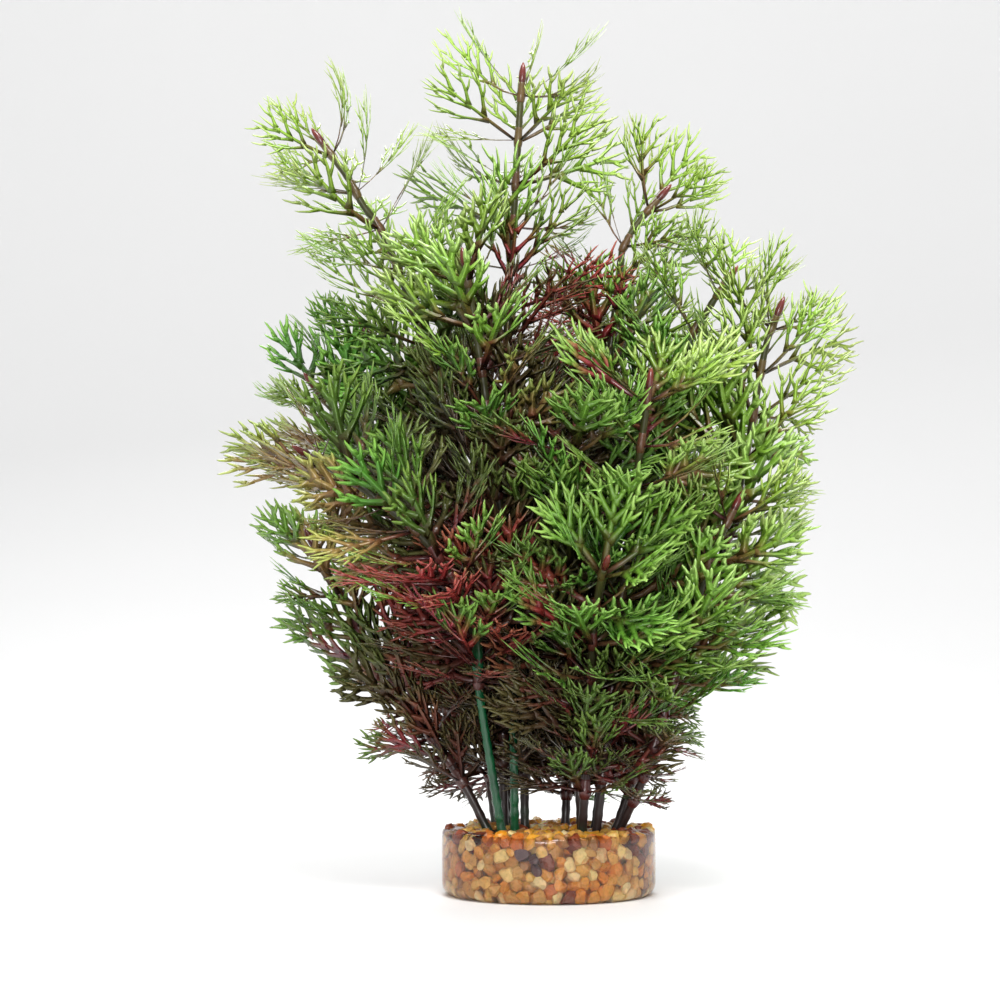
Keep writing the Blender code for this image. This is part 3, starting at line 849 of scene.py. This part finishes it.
def fronds_of_run(route, places, shares, frond, templates, rng, first_turn, parted):
    """The fronds and rings of the whorls at some places on a stem, as one set of arrays: points,
    faces, attributes and places on the bake. There each frond has a band of its own, with its
    reach along it, and the rings share the start of the last one."""
    at, direction = on_route(route, places)
    roots, out, up = frond_roots(at, direction, shares, rng, first_turn, parted)
    low, high, roll, cup = frond_bends(out, direction, shares, rng)
    mean_rise = ((low + high) / 2)[..., None]
    ahead = out * np.cos(mean_rise) + up * np.sin(mean_rise)
    size = frond * MM * np.interp(shares, *FROND_SIZE)[:, None]
    length = cut_to_outline(roots, ahead, size * rng.uniform(*LENGTH_SPREAD, low.shape))
    marks = frond_marks(roots + ahead * length[..., None] * HEART, rng)
    kind = pick_moulds(roots, marks["fresh"], rng)
    total = kind.size
    band = np.arange(total).reshape(kind.shape)
    points, quads, faces, uv, reach, count = [], [], [], [], [], 0
    extra = {key: [] for key in marks}
    for number, template in enumerate(templates):
        pick = kind == number
        if not pick.any():
            continue
        laid = bent_fronds(template, roots[pick], out[pick], up[pick], length[pick],
                           (low[pick], high[pick]), roll[pick], cup[pick])
        fronds, per_frond = laid.shape[:2]
        offsets = count + np.arange(fronds) * per_frond
        faces.append((template[3][None] + offsets[:, None, None]).reshape(-1, 3))
        points.append(laid.reshape(-1, 3))
        reach.append(np.tile(template[1], fronds))
        for key, values in marks.items():
            extra[key].append(np.repeat(values[pick], per_frond))
        row = (band[pick][:, None] + 0.5 + BAND_HALF * template[2]) / (total + 1)
        uv.append(np.stack([reach[-1] * (1 - 2 * BAND_MARGIN) + BAND_MARGIN, row.ravel()], -1))
        count += fronds * per_frond
    for i, share in enumerate(shares):
        ring, (ring_quads, ring_fans) = ring_and_sleeve(at[i], direction[i], share)
        quads.append(ring_quads + count)
        faces.append(ring_fans + count)
        points.append(ring)
        reach.append(np.full(len(ring), RING_REACH))
        for key, values in marks.items():
            extra[key].append(np.full(len(ring), values[i].mean()))
        spot = np.linspace(0, 1, len(ring))
        row = (total + 0.1 + 0.8 * (spot * 7 % 1)) / (total + 1)
        uv.append(np.stack([spot * 2 * BAND_MARGIN, row], -1))
        count += len(ring)
    arrays = {key: np.concatenate(values) for key, values in extra.items()}
    arrays["reach"] = np.concatenate(reach)
    return np.vstack(points), [np.vstack(quads), np.vstack(faces)], arrays, np.vstack(uv)


def foliage_finish():
    """Thin moulded plastic. Deep fronds go from brown at the ring through dark green to mid
    green tips, fresh ones through olive to pale lime, and dark ones, partly painted shade for
    fronds in shadow, are brown nearly all the way; rust and ruby spread out from the ring."""
    finish = Finish("foliage_plastic", {"Specular IOR Level": 0.6})
    reach, ruby, rust, fresh, tint = (
        finish.attribute(name) for name in ("reach", "ruby", "rust", "fresh", "tint"))
    patch = finish.noise(140.0) - 0.5
    place = finish.clamp(reach + patch * 0.22)
    # The dark ramp is partly painted shade: fronds low down and deep in the foliage, whose fresh
    # is below 0, turn to it
    dark = finish.ramp(place, [(0.0, "3A2620"), (0.3, "4A3428"), (0.6, "483A26"),
                               (1.0, "56502E")])
    deep = finish.ramp(place, [(0.0, "3A2C1C"), (0.2, "44481F"), (0.42, "426628"),
                               (0.72, "588A36"), (1.0, "90BC58")])
    bright = finish.ramp(place, [(0.0, "46371F"), (0.24, "6A6230"), (0.45, "7C9C38"),
                                 (0.72, "A2C254"), (1.0, "D0E294")])
    brown = finish.ramp(place, [(0.0, "4E3A26"), (0.4, "7E5E3E"), (0.75, "93824A"),
                                (1.0, "AAB860")])
    red = finish.ramp(place, [(0.0, "3A1C1C"), (0.3, "6C2A2C"), (0.65, "A04044"),
                              (1.0, "B05A54")])
    green = finish.mix(finish.clamp(fresh), deep, bright)
    # Painted shade in part: below 0, fresh mixes in the dark ramp and takes away red
    green = finish.mix(finish.clamp(fresh * -1.3), green, dark)
    brown = finish.mix(finish.clamp(fresh * -1.2), brown, dark)
    rusty = finish.clamp((rust * 1.1 - reach + patch * 0.25) * 2.6 + 0.35)
    ruddy = finish.clamp((ruby * 1.35 - reach + patch * 0.25) * 3.0 + 0.3)
    ruddy = ruddy * finish.clamp(1.15 + fresh * 0.6)
    colour = finish.mix(ruddy, finish.mix(rusty, green, brown), red)
    finish.feed({
        "Base Color": finish.shift(colour, 0.488 + tint * 0.024, 1.05, 0.8 + tint * 0.4),
        "Roughness": finish.noise(300.0) * 0.24 + 0.16,
    })
    finish.bump(finish.noise(900.0, 3.0), 0.12 * MM, 0.35)
    return finish


def make_whorls(finish, rng):
    """Threads whorls on each stem and shares them out evenly among its CAD nodes, a piece each."""
    templates = [frond_template(rng, stout, needles) for stout, needles in MOULDS]
    for name, (points, leaves_from, spacing, frond, _) in STEMS.items():
        route = smooth_route(points)
        nodes = [node for node in (f"whorls_{name}_{run}" for run in RUNS)
                 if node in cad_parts]
        places = whorl_places(route, leaves_from, spacing)
        shares = places / route[1][-1]
        turn = rng.uniform(0, math.tau)
        for node, run in zip(nodes, np.array_split(np.arange(len(places)), len(nodes))):
            mesh_points, faces, attributes, uv = fronds_of_run(
                route, places[run], shares[run], frond, templates, rng,
                turn + run[0] * WHORL_TURN, name not in HIDDEN_TIPS)
            mesh_piece(node + "_fronds", mesh_points, faces, finish, [node],
                       attributes, uv)


def stem_finish():
    """Glossy rod: emerald low down on some, else dark olive and brown, with soft streaks."""
    finish = Finish("stem_plastic", {"Specular IOR Level": 0.4, "Coat Roughness": 0.04})
    height = finish.attribute("height")
    emerald = finish.attribute("emerald")
    streak = finish.noise(120.0, 3.0) - 0.5
    dark = finish.ramp(finish.clamp(height + streak * 0.4), [
        (0.0, "2A1E1C"), (0.2, "321E1A"), (0.45, "2A2616"), (0.75, "30301A"), (1.0, "444422")])
    green = finish.ramp(finish.clamp(streak + 0.5), [(0.2, "083C22"), (0.8, "0E5C34")])
    mask = finish.clamp((emerald - height + streak * 0.15) * 8.0 - 0.5)
    finish.feed({
        "Base Color": finish.mix(mask, dark, green),
        "Coat Weight": mask * 0.4,
        "Roughness": finish.noise(200.0) * 0.2 + 0.24 - mask * 0.1,
    })
    finish.bump(finish.noise(420.0, 3.0), 0.15 * MM, 0.3)
    return finish


def make_stems(finish):
    """Rods that taper along their routes and swell by cos(2 pi * length / JOINT_GAP)^8. Much
    emerald adds exp(-(x / THICK_HALF)^4) round a place above each whorl."""
    for name, (points, leaves_from, spacing, _, emerald) in STEMS.items():
        route = smooth_route(points)
        total = route[1][-1]
        lengths = np.linspace(0, total, round(total / STEM_STEP))
        centres, directions = on_route(route, lengths)
        share = lengths / total
        swell = np.cos(math.tau * lengths / JOINT_GAP) ** 8 * JOINT_SWELL
        if emerald > MUCH_EMERALD:
            above = lengths[:, None] - whorl_places(route, leaves_from, spacing) - THICK_AT
            thick = np.exp(-((above / THICK_HALF) ** 4)).sum(1)
            shown = np.clip((emerald - share) * THICK_FADE, 0, 1)
            swell = swell * STOUT_JOINTS + thick * shown * THICK_SWELL
        radii = stem_radius(share) + swell
        foot = centres[:1] - directions[:1] * STEM_SINK
        centres = np.vstack([foot, centres])
        directions = np.vstack([directions[:1], directions])
        radii = np.concatenate([radii[:1], radii])
        mesh_points, faces = tube(centres, directions, radii, STEM_SIDES)
        height = np.repeat(np.concatenate([[0], share]), STEM_SIDES)
        height = np.concatenate([height, [0, 1]])
        mesh_piece(f"stem_{name}_rod", mesh_points, faces, finish,
                   [f"stem_{name}"],
                   {"height": height, "emerald": np.full(len(height), emerald)})


def cap_finish():
    """Glossy red-brown, a little darker at the neck and lighter towards the point."""
    finish = Finish("cap_plastic", {"Coat Weight": 0.5, "Coat Roughness": 0.08})
    height = finish.attribute("height")
    patch = finish.noise(500.0, 3.0) - 0.5
    colour = finish.ramp(finish.clamp(height + patch * 0.5), [
        (0.0, "381816"), (0.35, "5E221F"), (0.8, "702824"), (1.0, "8C4636")])
    finish.feed({"Base Color": colour, "Roughness": finish.noise(700.0) * 0.2 + 0.15})
    finish.bump(finish.noise(1500.0, 2.0), 0.1 * MM, 0.3)
    return finish


def make_caps(finish):
    """A bullet turned on each stem's tip: radius by height from the cap's profile."""
    for name, (points, *_) in STEMS.items():
        route = smooth_route(points)
        tip, direction = on_route(route, route[1][-1:])
        radii, heights = CAP_PROFILE[1:-1].T
        centres = tip + heights[:, None] * direction
        ways = np.tile(direction, (len(radii), 1))
        mesh_points, faces = tube(centres, ways, radii, CAP_SIDES)
        mesh_points[-1] = tip[0] + direction[0] * CAP_PROFILE[-1, 1]
        height = np.repeat(heights / CAP_PROFILE[-1, 1], CAP_SIDES)
        mesh_piece(f"tip_cap_{name}_bullet", mesh_points, faces, finish,
                   [f"tip_cap_{name}"], {"height": np.concatenate([height, [0, 1]])})


def foot_radius(height):
    """The base's radius at a height: a quarter round at the foot, then straight."""
    drop = np.clip(BASE_FOOT_ROUND - height, 0, BASE_FOOT_ROUND)
    return BASE_RADIUS - BASE_FOOT_ROUND + np.sqrt(BASE_FOOT_ROUND**2 - drop**2)


def packed_grains(rng):
    """Centres and radii of grains in the outer shell of the base. Grains start at random and
    overlapping pairs push each other apart, while walls and stems push them back inside."""
    radius = rng.uniform(*GRAIN_RADIUS, GRAINS)
    spread = rng.uniform(0, 1, (GRAINS * GRAIN_TRIES, 3))
    angle = spread[:, 0] * math.tau
    out = np.sqrt(spread[:, 1]) * BASE_RADIUS
    height = spread[:, 2] * GRAIN_TOP
    edge = np.minimum(GRAIN_TOP - height, height + SHELL_THINNING)
    keep = np.flatnonzero(np.minimum(BASE_RADIUS - out, edge) < GRAIN_SHELL)[:GRAINS]
    centre = np.stack([out * np.cos(angle), out * np.sin(angle), height], -1)[keep]
    feet = np.array([points[0][:2] for points, *_ in STEMS.values()]) * MM
    for _ in range(PACKING_STEPS):
        gap = centre[:, None] - centre[None]
        distance = np.sqrt((gap**2).sum(-1)) + TINY
        overlap = np.clip((radius[:, None] + radius[None]) * PACKED_NEAR - distance, 0, None)
        np.fill_diagonal(overlap, 0)
        centre = centre + (gap * (overlap / distance)[..., None]).sum(1) * PARTING_STEP
        aside = centre[:, None, :2] - feet[None]
        away = np.linalg.norm(aside, axis=-1) + TINY
        push = np.clip(radius[:, None] * STEM_NEAR + STEM_FOOT_RADIUS - away, 0, None)
        centre[:, :2] += (aside * (push / away)[..., None]).sum(1)
        centre[:, 2] = np.clip(centre[:, 2], radius + FLOOR_GAP, GRAIN_TOP - radius * TOP_NEAR)
        limit = foot_radius(centre[:, 2]) - radius * WALL_NEAR - WALL_GAP
        flat = np.linalg.norm(centre[:, :2], axis=1)
        centre[:, :2] *= np.minimum(1, limit / np.maximum(flat, TINY))[:, None]
    return centre, radius


def icosphere():
    """Points and faces of a unit sphere of 80 triangles."""
    before = set(bpy.data.meshes)
    bpy.ops.mesh.primitive_ico_sphere_add(subdivisions=2, radius=1)
    ball = bpy.context.object
    points = np.empty(len(ball.data.vertices) * 3)
    ball.data.vertices.foreach_get("co", points)
    faces = np.empty(len(ball.data.polygons) * 3, int)
    ball.data.polygons.foreach_get("vertices", faces)
    bpy.data.objects.remove(ball)
    for mesh in set(bpy.data.meshes) - before:
        bpy.data.meshes.remove(mesh)
    return unit(points.reshape(-1, 3)), faces.reshape(-1, 3)


def grain_finish():
    """Quartz gravel: amber, orange, cream, white, tan and brown grains, each a little mottled."""
    finish = Finish("quartz_gravel", {"Subsurface Weight": 0.25, "Subsurface Scale": 0.002})
    kind = finish.attribute("kind")
    mottle = finish.noise(900.0, 4.0) - 0.5
    vein = finish.noise(260.0, 3.0) - 0.5
    ramp = finish.ramp(kind, [
        (0.0, "DC9C34"), (0.2, "E2B55C"), (0.38, "EED49C"), (0.5, "DC9022"), (0.62, "CC9A4C"),
        (0.76, "F0D48C"), (0.86, "A8743A"), (0.92, "C4702A"), (0.955, "843E22"),
        (0.98, "5E4046")])
    ramp.socket.node.color_ramp.interpolation = "CONSTANT"
    cream = finish.clamp(vein * 5.0 - 0.4) * (0.7 - kind * 0.8)
    colour = finish.mix(finish.clamp(cream), ramp, srgb("EEDCB4"))
    finish.feed({
        "Base Color": finish.shift(colour, 0.5, 1.0, 1.0 + mottle * 0.6 + vein * 0.6),
        "Roughness": mottle * 0.4 + 0.32,
    })
    finish.bump(finish.noise(1400.0, 4.0), 0.3 * MM, 0.4)
    return finish


def pebbles(ball, centre, radius, rng):
    """Spheres that are stretched, turned and cut by some flat planes, and kept within the base.
    Point = centre + radius * turn(stretch(unit * min over planes of depth / (unit . plane)))."""
    count = len(centre)
    planes = unit(rng.normal(size=(count, PEBBLE_PLANES, 3)))
    depth = rng.uniform(*PEBBLE_CUTS, (count, 1, PEBBLE_PLANES))
    facing = np.einsum("pi,gki->gpk", ball, planes)
    cut = np.where(facing > depth, depth / np.maximum(facing, TINY), 1).min(-1)
    stretch = rng.uniform(*PEBBLE_STRETCH, (count, 1, 3))
    shape = ball[None] * cut[..., None] * stretch * PEBBLE_GROWTH
    turn = np.linalg.qr(rng.normal(size=(count, 3, 3)))[0]
    turn *= np.sign(np.linalg.det(turn))[:, None, None]
    points = np.einsum("gij,gpj->gpi", turn, shape) * radius[:, None, None] + centre[:, None]
    flat = np.linalg.norm(points[..., :2], axis=-1)
    inside = (foot_radius(points[..., 2]) - PEBBLE_GAP) / np.maximum(flat, TINY)
    points[..., :2] *= np.minimum(1, inside)[..., None]
    points[..., 2] = np.maximum(points[..., 2], FLOOR_GAP)
    return points


def grain_kinds(centre, rng):
    """Each grain's kind: drawn evenly, then browner in the top layer as painted shade of the
    foliage over it, and dark in the spots, which on the rim are partly painted shade.
    """
    count = len(centre)
    kind = rng.uniform(0, PLAIN_KINDS, count)
    # Painted shade: some grains of the top layer turn brown
    on_top = (centre[:, 2] > GRAIN_TOP - TOP_LAYER) & (rng.uniform(0, 1, count) < TOP_SHADED_SHARE)
    kind = np.where(on_top, rng.choice(TOP_SHADE_KINDS, count), kind)
    # The rim's spots are partly painted shade of the foliage over the top
    for spot, reach, shade in DARK_SPOTS:
        near = np.linalg.norm(centre - np.array(spot) * MM, axis=1) < reach * MM
        kind = np.where(near & (rng.uniform(0, 1, count) < DARK_SHARE), shade, kind)
    return kind


def make_grains(finish, rng):
    """All the grains as one piece. On the bake each has a square cell, laid out in rows."""
    centre, radius = packed_grains(rng)
    ball, faces = icosphere()
    points = pebbles(ball, centre, radius, rng)
    number = np.arange(len(centre))
    every_face = (faces[None] + (number * len(ball))[:, None, None]).reshape(-1, 3)
    side = math.ceil(math.sqrt(len(centre)))
    cell = np.stack([number % side, number // side], -1)
    uv = (cell[:, None] + 0.5 + CELL_HALF * ball[None, :, :2]) / side
    kind = np.repeat(grain_kinds(centre, rng), len(ball))
    mesh_piece("gravel_grains", points.reshape(-1, 3), [every_face], finish,
               ["gravel_base"], {"kind": kind}, uv.reshape(-1, 2), smooth=False)


def resin_finish():
    """Clear casting resin with a faint amber cast, seen through."""
    finish = Finish("clear_resin", {"Base Color": (1.0, 0.97, 0.92, 1), "Roughness": 0.11,
                                    "IOR": 1.5, "Transmission Weight": 1.0})
    volume = finish.tree.nodes.new("ShaderNodeVolumeAbsorption")
    volume.inputs["Color"].default_value = (0.85, 0.42, 0.12, 1)
    volume.inputs["Density"].default_value = 80.0
    output = finish.tree.nodes["Material Output"]
    finish.tree.links.new(volume.outputs[0], output.inputs["Volume"])
    return finish


def make_resin(finish, rng):
    """A turned block: rings run out over the top, down the side, round the foot and in under it.
    The mean of some waves is added to the top's height, and dies out down the side."""
    angle = np.linspace(0, math.tau, RESIN_SIDES, endpoint=False)
    top = [(r, RESIN_TOP) for r in RESIN_TOP_RADII * MM]
    edge = [(BASE_RADIUS - aside * MM, RESIN_TOP - down * MM) for aside, down in RESIN_EDGE]
    side = [(BASE_RADIUS, h) for h in RESIN_SIDE_HEIGHTS * MM]
    foot = [(foot_radius(h), h) for h in RESIN_FOOT_HEIGHTS * MM]
    under = [(r, 0) for r in RESIN_UNDER_RADII * MM]
    profile = np.array([*top, *edge, *side, *foot, *under])
    radius, height = profile[:, :1], profile[:, 1:]
    x, y = radius * np.cos(angle), radius * np.sin(angle)
    waves = rng.normal(size=(WAVES, 2)) * WAVE_TIGHTNESS
    phase = rng.uniform(0, math.tau, WAVES)
    lumps = np.cos(x[..., None] * waves[:, 0] + y[..., None] * waves[:, 1] + phase).mean(-1)
    on_top = np.clip((height - WAVES_FROM) / WAVES_GROW, 0, 1)
    z = height + lumps * WAVE_HEIGHT * on_top
    points = np.stack([x, y, z], -1).reshape(-1, 3)
    points = np.vstack([points, [[0, 0, RESIN_TOP], [0, 0, 0]]])
    quads, fans = closed_rings(len(profile), len(angle))
    mesh_piece("resin_block", points, [quads[:, ::-1], fans[:, ::-1]], finish,
               ["gravel_base"])


def make_stage():
    """A pale floor that curves up into a backdrop, as one sheet carried along X: its curve is
    y = STAGE_CURVE_Y + r sin(a), z = r - r cos(a)."""
    flat = np.linspace(STAGE_FRONT, STAGE_CURVE_Y, 8)
    depth = np.concatenate([flat, STAGE_CURVE_Y + STAGE_CURVE * np.sin(STAGE_BEND),
                            [STAGE_CURVE_Y + STAGE_CURVE]])
    rise = np.concatenate([np.zeros(len(flat)), STAGE_CURVE * (1 - np.cos(STAGE_BEND)),
                           [STAGE_TOP]])
    x = np.repeat([-STAGE_HALF, STAGE_HALF], len(depth))
    points = np.stack([x, np.tile(depth, 2), np.tile(rise, 2)], -1)
    here = np.arange(len(depth) - 1)
    quads = np.stack([here, here + len(depth), here + len(depth) + 1, here + 1], -1)
    finish = Finish("pale_floor", {"Roughness": 0.6})
    shade = finish.noise(3.0) * 0.02 + 0.9
    grey = finish.node("ShaderNodeCombineColor", None, dict(enumerate([shade] * 3)))
    finish.feed({"Base Color": grey})
    floor = add_mesh("floor", points, [quads], finish)


def make_studio():
    """Dim white surroundings, a large soft key above and in front, and weaker ones in front and
    behind."""
    world = bpy.data.worlds.new("studio")
    world.use_nodes = True
    world.node_tree.nodes["Background"].inputs["Color"].default_value = (1, 1, 1, 1)
    world.node_tree.nodes["Background"].inputs["Strength"].default_value = SURROUNDINGS
    bpy.context.scene.world = world
    for name, (place, aim, size, power) in LIGHTS.items():
        data = bpy.data.lights.new(name, "AREA")
        data.shape = "RECTANGLE"
        data.size, data.size_y = size
        data.energy = power
        light = add_object(name, data)
        light.location = place
        way = Vector(aim) - Vector(place)
        light.rotation_euler = way.to_track_quat("-Z", "Y").to_euler()


def make_camera():
    """The photograph's camera, level but for the slope from its eye to the aim."""
    data = bpy.data.cameras.new("camera")
    data.lens = LENS
    data.sensor_width = SENSOR
    camera = add_object("camera", data)
    camera.location = EYE
    camera.rotation_euler = (math.pi / 2 + math.atan2(AIM_HEIGHT - EYE[2], -EYE[1]), 0, 0)
    bpy.context.scene.camera = camera


rng = np.random.default_rng(7)
make_camera()
make_studio()
make_stage()
make_whorls(foliage_finish(), rng)
make_stems(stem_finish())
make_caps(cap_finish())
make_grains(grain_finish(), rng)
make_resin(resin_finish(), rng)
bpy.context.scene.view_settings.view_transform = "Standard"
